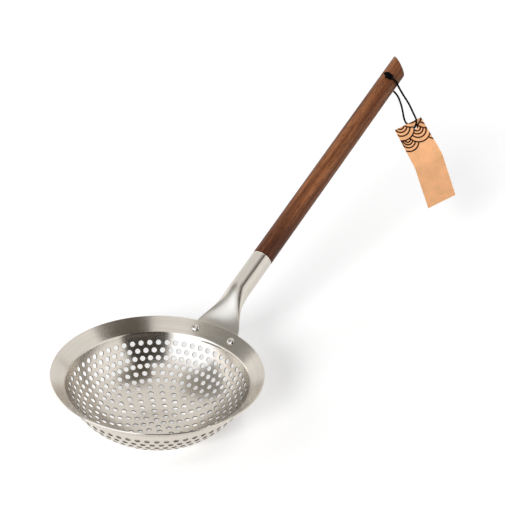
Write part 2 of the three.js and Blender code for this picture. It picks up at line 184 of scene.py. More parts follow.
def finish(name, roughness, metallic=0.0):
    """A new material with its shader, and the output of its object coordinates."""
    material = bpy.data.materials.new(name)
    material.use_nodes = True
    tree = material.node_tree
    shader = tree.nodes["Principled BSDF"]
    fill(tree, shader.inputs, {"Roughness": roughness, "Metallic": metallic})
    place = node(tree, "TexCoord").outputs["Object"]
    return material, tree, shader, place


print("tools for finishes are ready")

# %% Shared effects


def group(name, vectors, values, output):
    """An empty node group with vector and value inputs and one output, and its end sockets."""
    tree = bpy.data.node_groups.new(name, "ShaderNodeTree")
    for label in vectors:
        tree.interface.new_socket(label, in_out="INPUT", socket_type="NodeSocketVector")
    for label, value in values.items():
        socket = tree.interface.new_socket(label, in_out="INPUT", socket_type="NodeSocketFloat")
        socket.default_value = value
    tree.interface.new_socket(output, in_out="OUTPUT", socket_type="NodeSocketFloat")
    given = tree.nodes.new("NodeGroupInput").outputs
    return tree, given, tree.nodes.new("NodeGroupOutput").inputs


def use_group(tree, shared, inputs):
    """The output of a shared group that is placed in a tree with its own values."""
    return node(tree, "Group", inputs, node_tree=shared).outputs[0]


STREAKS, given, result = group("streaks", ["Vector", "Stretch"], {"Detail": 3.0}, "Value")
drawn = node(STREAKS, "VectorMath", {
    0: given["Vector"], 1: given["Stretch"]}, operation="MULTIPLY")
noise = node(STREAKS, "TexNoise", {
    "Vector": drawn.outputs[0], "Scale": 1.0, "Detail": given["Detail"]})
fill(STREAKS, result, {"Value": noise.outputs["Fac"]})

BLOTCHES, given, result = group(
    "blotches", ["Vector"], {"Scale": 40.0, "Low": 0.3, "High": 0.4}, "Value")
noise = node(BLOTCHES, "TexNoise", {
    "Vector": given["Vector"], "Scale": given["Scale"], "Detail": 4.0})
spread = node(BLOTCHES, "MapRange", {
    "Value": noise.outputs["Fac"], "From Min": 0.3, "From Max": 0.7,
    "To Min": given["Low"], "To Max": given["High"]})
fill(BLOTCHES, result, {"Value": spread.outputs[0]})
print("shared effects:", STREAKS.name, BLOTCHES.name)

# %% [markdown]
# ## Where the handle lies
# The cord, the knot and the tag hang from a bore near the handle's end. Their points are
# simplest in the handle's own directions, measured from the middle of the bore: along the
# handle, across it, and square to it. The same turn and shift then carry them into the frame.

# %% Handle frame
RIM_RADIUS = 70.0
RIM_Z = 42.65
HANDLE_SLOPE = np.radians(24.7)
HANDLE_RADIUS = 7.55
HANDLE_Z_OVER_RIM = 48.044
AXIS_OVER_RIM = np.array([RIM_RADIUS, 0.0, HANDLE_Z_OVER_RIM])
HANDLE_ALONG = np.array([np.cos(HANDLE_SLOPE), 0.0, np.sin(HANDLE_SLOPE)])
HANDLE_ACROSS = np.array([0.0, 1.0, 0.0])
HANDLE_UP = np.array([-np.sin(HANDLE_SLOPE), 0.0, np.cos(HANDLE_SLOPE)])
HANDLE_AXES = np.stack([HANDLE_ALONG, HANDLE_ACROSS, HANDLE_UP])
BORE_ALONG = 247.6
BORE_RADIUS = 1.5


def on_handle(points):
    """Points measured along, across and square to the handle from its start over the rim."""
    return AXIS_OVER_RIM + np.asarray(points) @ HANDLE_AXES


def at_bore(points):
    """The same, measured from the middle of the cord's bore."""
    return on_handle(np.asarray(points) + [BORE_ALONG, 0.0, 0.0])


print("bore at", np.round(at_bore([0.0, 0.0, 0.0]), 1), "mm")

# %% [markdown]
# ## The hanging cord
# A black twisted cord leaves the knot, runs down the side of the handle, passes through the
# tag's hole and comes back up through the bore. A bevelled curve would make a smooth wire. The
# real cord is three thin strands twisted together, so it is drawn as a tube whose section has
# three lobes that turn as it goes.

# %% Tubes along a line
FINE_POINTS = 4000


def smooth_line(route, step):
    """Points every step along a curve through the route: cubic pieces whose slopes at each
    point are the chord-weighted mean of the chords on either side."""
    route = np.asarray(route, dtype=float)
    chord = np.sqrt(np.linalg.norm(np.diff(route, axis=0), axis=1))
    knots = np.concatenate([[0.0], np.cumsum(chord)])
    slope = np.diff(route, axis=0) / chord[:, None]
    before, after = chord[:-1, None], chord[1:, None]
    inner = (slope[:-1] * after + slope[1:] * before) / (after + before)
    slopes = np.concatenate([slope[:1], inner, slope[-1:]])
    fine = np.linspace(0.0, knots[-1], FINE_POINTS)
    k = np.clip(np.searchsorted(knots, fine, side="right") - 1, 0, len(chord) - 1)
    h = chord[k][:, None]
    t = ((fine - knots[k]) / chord[k])[:, None]
    curve = (route[k] * (2 * t**3 - 3 * t**2 + 1) + route[k + 1] * (3 * t**2 - 2 * t**3)
             + h * (slopes[k] * (t**3 - 2 * t**2 + t) + slopes[k + 1] * (t**3 - t**2)))
    lengths = np.linalg.norm(np.diff(curve, axis=0), axis=1)
    run = np.concatenate([[0.0], np.cumsum(lengths)])
    even = np.linspace(0.0, run[-1], int(run[-1] / step) + 2)
    return np.stack([np.interp(even, run, curve[:, axis]) for axis in range(3)], axis=1), even


def twisted_tube(line, run, radius, side, lobes, twist, columns):
    """A tube along a line whose radius is radius * (0.95 + 0.05 * cos(lobes * (angle - turn))).

    side is a direction that the line never follows, so it fixes where each section starts.
    The turn grows by a full circle in each twist of length, and both ends are rounded off.
    """
    ahead = unit(np.gradient(line, axis=0))
    first = unit(side - (ahead @ side)[:, None] * ahead)
    second = np.cross(ahead, first)
    angle = np.linspace(0.0, 2 * np.pi, columns, endpoint=False)
    turn = 2 * np.pi * run[:, None] / twist
    size = radius * (0.95 + 0.05 * np.cos(lobes * (angle[None] - turn)))
    blunt = np.sqrt(np.clip(np.minimum(run, run[-1] - run) / radius, 0.02, 1.0))[:, None]
    cos, sin = np.cos(angle)[None, :, None], np.sin(angle)[None, :, None]
    ring = first[:, None] * cos + second[:, None] * sin
    points = line[:, None] + ring * (size * blunt)[..., None]
    return points.reshape(-1, 3), capped(np.arange(size.size).reshape(size.shape))


print("a line is traced at", FINE_POINTS, "points")

# %% Cord
CORD_RADIUS = 0.8
CORD_STRANDS = 3
CORD_TWIST_MM = 3.4
CORD_STEP = 0.3
CORD_COLUMNS = 15
CORD_SIDE = np.array([1.0, 0.0, 0.0])
CORD_BLACKS = (0.002, 0.002, 0.002, 1), (0.007, 0.006, 0.006, 1)
CORD_ROUTE = [
    (-1.5, -5.444, 6.722), (-1.1, -7.171, 4.837), (-0.6, -8.461, 1.798), (-0.1, -8.544, -1.353),
    (-1.0, -12.6, -9.2), (-1.9, -16.7, -15.9), (-3.3, -20.3, -23.2), (-4.1, -22.6, -29.0),
    (-4.0, -22.3, -33.0), (-3.8, -21.3, -36.2), (-3.53, -20.29, -38.8), (-3.05, -19.68, -40.04),
    (-2.65, -18.9, -41.2), (-2.55, -17.0, -41.35), (-2.67, -14.6, -40.27), (-2.4, -11.6, -38.6),
    (-0.9, -9.5, -35.9), (1.4, -7.75, -30.7), (2.75, -6.25, -24.3), (3.3, -4.4, -17.75),
    (2.5, -2.0, -12.2), (0.55, -0.35, -8.4), (0.1, -0.05, -5.5), (0.0, 0.0, 0.0),
    (0.0, 0.0, 7.55)]

cord_material, tree, shader, place = finish("black_twisted_cord", 0.75)
fuzz = use_group(tree, BLOTCHES, {"Vector": place, "Scale": 900.0, "Low": 0.0, "High": 1.0})
fill(tree, shader.inputs, {
    "Base Color": blend(tree, fuzz, *CORD_BLACKS), "Specular IOR Level": 0.04})
relief(tree, shader, 0.4, 0.0001, fuzz)

cord_line, cord_run = smooth_line(CORD_ROUTE, CORD_STEP)
cord_points, cord_faces = twisted_tube(
    cord_line, cord_run, CORD_RADIUS, CORD_SIDE, CORD_STRANDS, CORD_TWIST_MM, CORD_COLUMNS)
cord = make_piece("cord", at_bore(cord_points), cord_faces, cord_material,
                  "skimmer", "hang_cord")
print("cord length", round(cord_run[-1], 1), "mm")

# %% [markdown]
# ## The knot
# The cord comes up out of the bore, bends over and is tied to its other end in a small tight
# knot beside the bore. A ball would do from afar, but a knot has a plain formula: its loop is a
# trefoil, whose radius swings as it goes round twice. A tube along that loop is the knot, and
# three short strands lead into it: from the bore, from the side of the handle, and a cut end.

# %% Knot
KNOT_ALONG = -2.2
KNOT_LEAN = np.radians(20.0)
KNOT_SIZE = 0.88
KNOT_DEPTH = 1.35
KNOT_LIFT = HANDLE_RADIUS + 2.3
KNOT_OVERLAP = 0.12
KNOT_POINTS = 120
KNOT_STEP = 0.22
KNOT_COLUMNS = 14
KNOT_SIDE = np.array([0.9, 0.35, 0.4])


def joined(tubes):
    """Several tubes as one table of points and one of faces, whose numbers go on from the
    points of the tubes before."""
    starts = np.cumsum([0] + [len(points) for points, _ in tubes])
    faces = [(np.array(face) + start).tolist()
             for start, (_, tube) in zip(starts, tubes) for face in tube]
    return np.concatenate([points for points, _ in tubes]), faces


pull = np.linspace(-KNOT_OVERLAP, 2 * np.pi + KNOT_OVERLAP, KNOT_POINTS)
loop = KNOT_SIZE * np.stack([
    np.sin(pull) + 2 * np.sin(2 * pull),
    np.cos(pull) - 2 * np.cos(2 * pull),
    -KNOT_DEPTH * np.sin(3 * pull)], axis=1)
lean = np.array(Matrix.Rotation(KNOT_LEAN, 3, "X"))
knot_middle = np.array([KNOT_ALONG, 0.0, 0.0]) + lean @ [0.0, 0.0, KNOT_LIFT]
knot_routes = [
    loop @ lean.T + knot_middle,
    [(0.0, 0.0, 6.4), (0.05, 0.2, 8.0), (0.0, 0.55, 9.2), (-0.4, -0.2, 10.0),
     (-1.2, -1.8, 9.9), knot_middle],
    [knot_middle, (-1.7, -4.6, 7.9), (-1.5, -5.5, 6.5)],
    [knot_middle, (-1.9, -1.2, 9.7), (-1.5, 0.6, 9.6), (-0.9, 1.9, 9.5)]]
tubes = [
    twisted_tube(line, run, CORD_RADIUS, KNOT_SIDE, CORD_STRANDS, CORD_TWIST_MM, KNOT_COLUMNS)
    for line, run in (smooth_line(route, KNOT_STEP) for route in knot_routes)]
knot_points, knot_faces = joined(tubes)
knot = make_piece("knot", at_bore(knot_points), knot_faces, cord_material,
                  "skimmer", "cord_knot")

# %% [markdown]
# ## Sheets that are cut flat, punched and then pressed
# The bowl and the tag are both made from flat stock: cut to an outline, punched, and only then
# given their shape. The mesh is made in the same order. Delaunay triangles fill the flat blank
# between the outline and the holes, and a press function carries every flat point to its place.
# Cutting holes into the finished bowl would leave ragged edges; this way each hole has its own
# ring of points and an eased edge.

# %% Punched sheets
EDGE_LEANS = (45.0, 90.0, 90.0, 135.0)
NUDGE = 0.02
WELD = 1e-5


def punched_sheet(outline, holes, guides, press, thickness, ease_mm):
    """Points, normals, flat places and faces of a sheet cut from a blank, punched and pressed.

    outline(i) and holes(i) give the cut lines in the flat, moved i into the sheet; the outline
    runs anticlockwise and the holes clockwise. press(flat, depth) gives a point and the front
    face's normal there. Each cut edge rolls from the front to the back on a radius ease_mm.
    """
    rim, rings = outline(ease_mm), holes(ease_mm)
    flat = np.concatenate([rim, rings.reshape(-1, 2), guides])
    count, sides = rings.shape[:2]
    owner = np.concatenate([
        np.full(len(rim), -1), np.repeat(np.arange(count), sides), np.full(len(guides), -1)])
    front = np.arange(len(flat))
    loops = [front[:len(rim)][None],
             front[len(rim):len(rim) + count * sides].reshape(count, sides)]
    edges = np.concatenate([
        np.stack([loop, np.roll(loop, -1, axis=1)], -1).reshape(-1, 2) for loop in loops])
    filled = delaunay_2d_cdt(flat.tolist(), edges.tolist(), [], 0, WELD)
    origin = np.array([given[0] for given in filled[3]])
    corners = origin[np.array(filled[2])]
    owners = owner[corners]
    punched_out = (owners[:, 0] >= 0) & (owners == owners[:, :1]).all(axis=1)
    corners = corners[~punched_out]

    points, normals, blanks = [], [], []

    def put(line, depth, lean, away=0.0):
        """Press points at one depth, their normals leaning over from the front towards away."""
        depths = np.full(len(line), depth)
        at, up = press(line, depths)
        points.append(at)
        normals.append(up * np.cos(np.radians(lean)) + away * np.sin(np.radians(lean)))
        blanks.append(np.column_stack([line, depths]))

    put(flat, 0.0, 0.0)
    put(flat, thickness, 180.0)
    faces = corners.tolist() + (corners[:, ::-1] + len(flat)).tolist()
    size = 2 * len(flat)
    for cut, loop in ((lambda i: outline(i)[None], loops[0]), (holes, loops[1])):
        rows = [loop]
        for lean in EDGE_LEANS:
            deep = ease_mm * (1 - np.abs(np.cos(np.radians(lean))))
            inset = ease_mm * (1 - np.sin(np.radians(lean)))
            depth = thickness - deep if len(rows) > 2 else deep
            line, outer = cut(inset).reshape(-1, 2), cut(inset - NUDGE).reshape(-1, 2)
            depths = np.full(len(line), depth)
            put(line, depth, lean, unit(press(outer, depths)[0] - press(line, depths)[0]))
            rows.append(np.arange(size, size + len(line)).reshape(loop.shape))
            size += len(line)
        rows.append(loop + len(flat))
        for above, below in zip(rows[:-1], rows[1:]):
            strip = [above, below, np.roll(below, -1, axis=1), np.roll(above, -1, axis=1)]
            faces += np.stack(strip, -1).reshape(-1, 4).tolist()
    return np.concatenate(points), np.concatenate(normals), np.concatenate(blanks), faces


print("a cut edge has", len(EDGE_LEANS) + 2, "rows of points")

# %% [markdown]
# ## The bowl's profile
# From the middle outwards the sheet is flat, then curves up evenly to a steep wall, turns out
# at a crease and ends in a straight flared flange. That is easiest to write as the sheet's
# slope along its own length. Adding up the slope's cosine and sine gives radius and height.

# %% Bowl profile
BOWL_SHEET = 1.0
FLAT_RADIUS = 12.5
FLAT_HALF = 1.0
CREASE_RADIUS = 60.7
CREASE_HALF = 0.7
WALL_SLOPE = np.radians(70.0)
WALL_ARC = (CREASE_RADIUS - FLAT_RADIUS) / np.sin(WALL_SLOPE) * WALL_SLOPE
FLANGE_WIDTH = 9.3
FLANGE_RISE = 7.9
FLANGE_SLOPE = np.arctan2(FLANGE_RISE, FLANGE_WIDTH)
FLANGE_LENGTH = np.hypot(FLANGE_RISE, FLANGE_WIDTH)
CREASE = FLAT_RADIUS + WALL_ARC
SPARE_LENGTH = 1.0
PROFILE_POINTS = 20000

run_out = np.linspace(0.0, CREASE + FLANGE_LENGTH + SPARE_LENGTH, PROFILE_POINTS)
slope_out = np.interp(
    run_out,
    [0.0, FLAT_RADIUS - FLAT_HALF, FLAT_RADIUS + FLAT_HALF,
     CREASE - CREASE_HALF, CREASE + CREASE_HALF],
    [0.0, 0.0, FLAT_HALF / WALL_ARC * WALL_SLOPE,
     WALL_SLOPE * (1 - CREASE_HALF / WALL_ARC), FLANGE_SLOPE])
step_out = run_out[1]
radius_out = np.concatenate([[0.0], np.cumsum(np.cos(slope_out[:-1])) * step_out])
height_out = np.concatenate([[0.0], np.cumsum(np.sin(slope_out[:-1])) * step_out]) + BOWL_SHEET
RIM_RUN = np.interp(RIM_RADIUS, radius_out, run_out)


def press_bowl(flat, depth):
    """The bowl's point and inward normal for a flat point: its distance from the middle is
    run along the profile, its direction stays, and depth goes square into the sheet."""
    run = np.hypot(flat[:, 0], flat[:, 1])
    azimuth = np.arctan2(flat[:, 1], flat[:, 0])
    r, z, slope = (np.interp(run, run_out, table) for table in (radius_out, height_out, slope_out))
    around = np.stack([np.cos(azimuth), np.sin(azimuth)], axis=1)
    normal = np.column_stack([-np.sin(slope)[:, None] * around, np.cos(slope)])
    return np.column_stack([r[:, None] * around, z]) - depth[:, None] * normal, normal


print("rim at", np.round(np.interp(RIM_RUN, run_out, height_out), 2), "mm")

# %% [markdown]
# ## The holes
# The holes lie in rings. On the wall each ring is turned half a step against the one above, as
# in brickwork. On the bottom the rings hold four holes fewer each time and line up along the
# diagonals. A hole has to be round on the finished wall, and pressing draws the sheet in, so in
# the flat it is an ellipse.

# %% Hole pattern
HOLE_RADIUS = 1.7
HOLE_SIDES = 14
FIRST_RING = 6.98
RING_PITCH = 5.34
RING_HOLES = np.array([60, 60, 60, 60, 45, 45, 28, 24, 20, 16, 12, 8, 4])
WALL_RINGS = 6
RIVET_RADIUS = 1.6
RIVET_SEAT_RADIUS = 65.35
RIVET_HALF_SPACING = 14.7
RIVET_AZIMUTH = np.arcsin(RIVET_HALF_SPACING / RIVET_SEAT_RADIUS)

ring = np.arange(len(RING_HOLES))
ring_run = CREASE - FIRST_RING - RING_PITCH * ring
ring_start = np.where(ring < WALL_RINGS, (ring % 2) * np.pi / RING_HOLES, np.pi / 4)
hole_ring = np.repeat(ring, RING_HOLES)
ring_first = np.repeat(np.cumsum(RING_HOLES) - RING_HOLES, RING_HOLES)
hole_number = np.arange(len(hole_ring)) - ring_first
rivet_run = np.interp(RIVET_SEAT_RADIUS, radius_out, run_out)
hole_run = np.append(ring_run[hole_ring], [rivet_run, rivet_run])
hole_azimuth = np.append(ring_start[hole_ring] + 2 * np.pi * hole_number / RING_HOLES[hole_ring],
                         [RIVET_AZIMUTH, -RIVET_AZIMUTH])
hole_size = np.append(np.full(len(hole_ring), HOLE_RADIUS), [RIVET_RADIUS, RIVET_RADIUS])
squeeze = hole_run / np.interp(hole_run, run_out, radius_out)


def bowl_holes(inset):
    """Each hole's ring in the flat, clockwise:
    centre + outwards * size * cos(t) + around * size * squeeze * sin(t)."""
    t = -np.linspace(0.0, 2 * np.pi, HOLE_SIDES, endpoint=False)
    size = (hole_size + inset)[:, None]
    outwards = np.stack([np.cos(hole_azimuth), np.sin(hole_azimuth)], axis=1)[:, None]
    around = np.stack([-np.sin(hole_azimuth), np.cos(hole_azimuth)], axis=1)[:, None]
    along = (hole_run[:, None] + size * np.cos(t))[..., None]
    aside = (size * squeeze[:, None] * np.sin(t))[..., None]
    return outwards * along + around * aside


print(len(hole_ring), "holes in", len(RING_HOLES), "rings")

# %% Blank of the bowl
BLANK_SIDES = 288
GUIDE_SIDES = 240
GUIDE_GAP = 0.7
GUIDE_RUNS = CREASE + np.array([
    -4.0, -2.6, -1.5, -0.8, -0.4, 0.0, 0.4, 0.8, 1.6, 3.0, 4.6, 6.2, 7.8, 9.4, 10.9])


def bowl_outline(inset):
    """The blank's edge: a circle."""
    azimuth = np.linspace(0.0, 2 * np.pi, BLANK_SIDES, endpoint=False)
    return (RIM_RUN - inset) * np.stack([np.cos(azimuth), np.sin(azimuth)], axis=1)


def bowl_guides():
    """Rings of points that carry the plain band, the crease and the flange, clear of the
    rivets. Every other ring is turned by half a step."""
    azimuth = np.linspace(0.0, 2 * np.pi, GUIDE_SIDES, endpoint=False)
    shift = (np.arange(len(GUIDE_RUNS)) % 2)[:, None] * np.pi / GUIDE_SIDES
    spin = azimuth[None] + shift
    points = GUIDE_RUNS[:, None, None] * np.stack([np.cos(spin), np.sin(spin)], -1)
    points = points.reshape(-1, 2)
    rivets = bowl_holes(0.0)[-2:].mean(axis=1)
    gap = np.linalg.norm(points[:, None] - rivets[None], axis=-1).min(axis=1)
    return points[gap > RIVET_RADIUS + GUIDE_GAP]


print("blank", round(2 * RIM_RUN, 1), "mm across")

# %% [markdown]
# ## Brushed steel
# The bowl was polished on a turning spindle, so fine lines run round it, and its highlights are
# drawn out across those lines. The shader's anisotropy does that, with its grain set round the
# upright axis. The lines themselves are streaks that are long around the bowl and very fine
# along its profile. The walls of the holes were sheared by the punch and never polished; their
# colour is painted dark, as shade inside the holes. The place in the flat blank tells them from
# the rest.

# %% Steel for the bowl
BRUSHED_TONES = (0.60, 0.552, 0.490, 1), (0.70, 0.648, 0.580, 1)
# Painted shade: the dark colour that the walls of the holes get.
HOLE_SHADE_TONE = (0.12, 0.107, 0.095, 1)
HOLE_WALL_SHARE = 0.35


def in_blank(tree):
    """Where the surface lay in the flat blank, and how deep in the sheet."""
    flat = node(tree, "Attribute", attribute_name="blank").outputs["Vector"]
    level = node(tree, "VectorMath", {0: flat, 1: (1, 1, 0)}, operation="MULTIPLY").outputs[0]
    return level, node(tree, "SeparateXYZ", {0: flat}).outputs[2]


bowl_steel, tree, shader, place = finish("spun_bowl_steel", 0.3, 1.0)
flat_place, sheet_depth = in_blank(tree)
run_across = node(tree, "VectorMath", {0: flat_place}, operation="LENGTH").outputs["Value"]
parts = node(tree, "SeparateXYZ", {0: place}).outputs
line_place = node(tree, "CombineXYZ", {0: parts[0], 1: parts[1], 2: run_across}).outputs[0]
lines = use_group(tree, STREAKS, {
    "Vector": line_place, "Stretch": (14.0, 14.0, 3.2), "Detail": 4.0})
broad = use_group(tree, STREAKS, {
    "Vector": line_place, "Stretch": (9.0, 9.0, 0.5), "Detail": 2.0})
sheen = use_group(tree, BLOTCHES, {"Vector": place, "Scale": 45.0, "Low": 0.15, "High": 0.21})
brushed = blend(tree, broad, *BRUSHED_TONES)
# The walls of the holes lie mid-depth in the sheet, inside the crease, and are painted dark as
# shade.
in_sheet = calculate(tree, "COMPARE", sheet_depth, BOWL_SHEET / 2, BOWL_SHEET * HOLE_WALL_SHARE)
in_well = calculate(tree, "LESS_THAN", run_across, CREASE)
punched = calculate(tree, "MULTIPLY", in_sheet, in_well)
grain_round = node(tree, "Tangent", direction_type="RADIAL", axis="Z").outputs[0]
fill(tree, shader.inputs, {
    "Base Color": blend(tree, punched, brushed, HOLE_SHADE_TONE),
    "Roughness": calculate(tree, "MULTIPLY_ADD", lines, 0.08, sheen),
    "Anisotropic": 0.5, "Anisotropic Rotation": 0.25, "Tangent": grain_round})
relief(tree, shader, 0.12, 0.00006, lines)
print("finish:", bowl_steel.name)

# %% Bowl
BOWL_EASE = 0.3

bowl_points, bowl_normals, bowl_blank, bowl_faces = punched_sheet(
    bowl_outline, bowl_holes, bowl_guides(), press_bowl, BOWL_SHEET, BOWL_EASE)
make_piece("bowl_shell", bowl_points, bowl_faces, bowl_steel,
           "skimmer", "bowl", bowl_normals, bowl_blank)

# %% [markdown]
# ## The socket
# The socket starts as a flat blank that is rolled into a tube around the handle's end, with an
# open seam, and pressed flat towards the bowl into a flared tab that lies under the flange. So
# its section is a mix of a circle on the handle and a thin flat band on the bowl. The tab leaves
# the rim at the flange's slope and turns to the handle's, and that turn catches the light. The
# seam is a narrow groove in each section, painted dark as shade, because little light gets into
# it. The rows at the tube's end, against the wood, are painted bright as a thin highlight line.

# %% Socket shape
SOCKET_END = 58.8
SOCKET_SHEET = 1.1
TUBE_START = 29.0
PRESSED_END = 3.0
TAB_HALF_WIDTH = 20.0
PRESS_SPREAD = 3.0
TAB_BEND = 20.0
TAB_SQUARENESS = 4
HOLLOW_START = 20.0
JOINT_GAP = 0.3
TAB_CLEARANCE = 0.6
TAB_START = (CREASE_RADIUS + BOWL_SHEET + TAB_CLEARANCE - RIM_RADIUS) / np.cos(HANDLE_SLOPE)
TAB_TOP = RIM_Z - (BOWL_SHEET + JOINT_GAP) / np.cos(FLANGE_SLOPE)


def socket_face(u, turn):
    """Outer face at length u from the rim and angle turn over the top: the tab's point moved
    towards the tube's point by how round the section is. Past the rim the tab's top turns from
    the flange's slope to the handle's: its slope falls by 3b^2 - 2b^3 of the difference, where
    b goes from 0 to 1 over the bend."""
    u, turn = np.broadcast_arrays(u, turn)
    sin, cos = np.sin(turn), np.cos(turn)
    tube = on_handle(np.stack([u, HANDLE_RADIUS * cos, HANDLE_RADIUS * sin], -1))
    r = RIM_RADIUS + u * np.cos(HANDLE_SLOPE)
    spread = ease(u, TAB_START, HOLLOW_START)
    half_width = TAB_HALF_WIDTH * (1 - spread) + (HANDLE_RADIUS + PRESS_SPREAD) * spread
    aside = half_width * cos / r
    steep, shallow = np.tan(FLANGE_SLOPE), np.tan(HANDLE_SLOPE)
    out = r - RIM_RADIUS
    bent = np.clip(out / TAB_BEND, 0, 1)
    turned = TAB_BEND * (bent**3 - bent**4 / 2) + np.clip(out - TAB_BEND, 0, None)
    top = TAB_TOP + steep * out - (steep - shallow) * turned
    sheet = SOCKET_SHEET / np.cos(np.where(u < 0, FLANGE_SLOPE, HANDLE_SLOPE))
    level = (np.tanh(TAB_SQUARENESS * sin) / np.tanh(TAB_SQUARENESS) - 1) / 2
    tab = np.stack([r * np.cos(aside), r * np.sin(aside), top + sheet * level], -1)
    roundness = ease(u, PRESSED_END, TUBE_START)
    return tab + (tube - tab) * roundness[..., None]


def socket_outward(u, turn):
    """Outward normal of that face, from its two directions."""
    small = 1e-3
    around = socket_face(u, turn + small) - socket_face(u, turn - small)
    along = socket_face(u + small, turn) - socket_face(u - small, turn)
    return unit(np.cross(around, along))


print("socket from", round(TAB_START, 1), "to", SOCKET_END, "mm past the rim")

# %% Socket sections
SOCKET_COLUMNS = 112
SEAM_TURN = np.radians(124.0)
SEAM_SWING_START = -2.0
SEAM_OPENS = (6.0, 11.0)
SEAM_HALF_WIDTH = 0.18
SEAM_SHUT_SHARE = 0.08
SEAM_LIP = 0.12
SOCKET_LENGTHS = np.concatenate([
    np.linspace(TAB_START, 0.0, 14), np.linspace(0.6, TUBE_START, 70),
    np.linspace(TUBE_START + 2, SOCKET_END - 0.6, 12)])
# Rows that turn in at the tube's end: back from the end, into the sheet, and lean in degrees.
FACED_END = np.array([
    (0.35, 0.04, 15.0), (0.2, 0.13, 35.0), (0.06, 0.32, 60.0), (0.0, 0.6, 85.0),
    (0.0, SOCKET_SHEET - 0.05, 95.0), (2.0, SOCKET_SHEET, 150.0)])


def socket_rows(columns):
    """Sections of the socket as rings of points, with normals and places: each ring runs round
    the outside from one lip of the seam to the other and dips into the groove there, and the
    last rows turn into the tube. The normals are the outer face's own, also in the groove, so
    that the seam stays a clean line. A place is (length, angle, how deep in the seam)."""
    back, end_inset, end_lean = FACED_END.T
    plain = np.zeros(len(SOCKET_LENGTHS))
    u = np.concatenate([SOCKET_LENGTHS, SOCKET_END - back])
    inset = np.concatenate([plain, end_inset])
    over = np.concatenate([plain, np.radians(end_lean)])[:, None, None]
    seam = np.pi + (SEAM_TURN - np.pi) * ease(u, SEAM_SWING_START, TUBE_START)
    open_part = ease(u, *SEAM_OPENS)
    half = SEAM_HALF_WIDTH / HANDLE_RADIUS * (
        SEAM_SHUT_SHARE + (1 - SEAM_SHUT_SHARE) * open_part)
    share = np.concatenate([np.zeros(2), np.linspace(0.0, 1.0, columns), np.ones(2)])
    start, end = seam + half, seam + 2 * np.pi - half
    turn = start[:, None] + (end - start)[:, None] * share[None]
    drop = np.zeros(len(share))
    drop[[0, 1, -2, -1]] = [1.0, SEAM_LIP, SEAM_LIP, 1.0]
    deep = inset[:, None] + (SOCKET_SHEET * open_part)[:, None] * drop[None]
    outward = socket_outward(u[:, None], turn)
    points = socket_face(u[:, None], turn) - outward * deep[..., None]
    normals = outward * np.cos(over) + HANDLE_ALONG * np.sin(over)
    in_seam = open_part[:, None] * drop[None]
    return points, normals, np.stack(np.broadcast_arrays(u[:, None], turn, in_seam), -1)


print(len(SOCKET_LENGTHS) + len(FACED_END), "sections")

# %% Socket
ROLLED_TONES = (0.58, 0.54, 0.48, 1), (0.68, 0.635, 0.57, 1)
# Painted highlight: the bright colour of the rows at the tube's end.
END_HIGHLIGHT_TONE = (1.0, 0.94, 0.86, 1)
# Painted shade: the dark colour of the seam's groove.
SEAM_SHADE_TONE = (0.075, 0.062, 0.050, 1)

socket_steel, tree, shader, place = finish("rolled_socket_steel", 0.3, 1.0)
along_handle = node(tree, "Mapping", {"Vector": place, "Rotation": (0.0, HANDLE_SLOPE, 0.0)})
rolled = use_group(tree, STREAKS, {
    "Vector": along_handle.outputs[0], "Stretch": (60.0, 1500.0, 1500.0), "Detail": 3.0})
sheen = use_group(tree, BLOTCHES, {"Vector": place, "Scale": 60.0, "Low": 0.29, "High": 0.33})
blank_place = node(tree, "Attribute", attribute_name="blank").outputs["Vector"]
seam_place = node(tree, "SeparateXYZ", {0: blank_place}).outputs
# The seam's groove is painted dark as shade, and the rows at the tube's end bright as a highlight.
in_seam = mask(tree, seam_place[2], 0.13, 0.5)
end_highlight_mask = mask(tree, seam_place[0], SOCKET_END - 0.8, SOCKET_END - 0.4)
steel_tone = blend(tree, rolled, *ROLLED_TONES)
with_end_highlight = blend(tree, end_highlight_mask, steel_tone, END_HIGHLIGHT_TONE)
fill(tree, shader.inputs, {
    "Base Color": blend(tree, in_seam, with_end_highlight, SEAM_SHADE_TONE),
    "Roughness": calculate(tree, "MULTIPLY_ADD", in_seam, 0.4, sheen)})
relief(tree, shader, 0.03, 0.00005, rolled)

socket_table, socket_normals, socket_blank = (
    table.reshape(-1, 3) for table in socket_rows(SOCKET_COLUMNS))
socket_index = np.arange(len(socket_table)).reshape(len(SOCKET_LENGTHS) + len(FACED_END), -1)
make_piece("socket_shell", socket_table, capped(socket_index), socket_steel,
           "skimmer", "socket", socket_normals, socket_blank)

# %% [markdown]
# ## The rivets
# Each rivet has a low domed head inside the flange and a flattened tail below the tab. It is
# turned: a profile of radius and height carried round the rivet's own axis, which stands square
# to the flange.

# %% Rivets
RIVET_COLUMNS = 28
RIVET_PROFILE = np.array([
    (0.0, 1.55), (0.8, 1.52), (1.5, 1.4), (2.1, 1.14), (2.55, 0.76), (2.85, 0.4), (2.94, 0.16),
    (2.84, 0.05), (1.3, 0.04), (1.3, -2.6), (2.35, -2.62), (2.55, -2.75), (2.55, -3.2),
    (2.3, -3.45), (0.6, -3.55), (0.0, -3.56)])
RIVET_TONES = (0.66, 0.63, 0.58, 1), (0.52, 0.49, 0.44, 1)

rivet_steel, tree, shader, place = finish("rivet_steel", 0.22, 1.0)
worn = use_group(tree, BLOTCHES, {"Vector": place, "Scale": 500.0, "Low": 0.16, "High": 0.34})
fill(tree, shader.inputs, {"Roughness": worn, "Base Color": blend(tree, worn, *RIVET_TONES)})


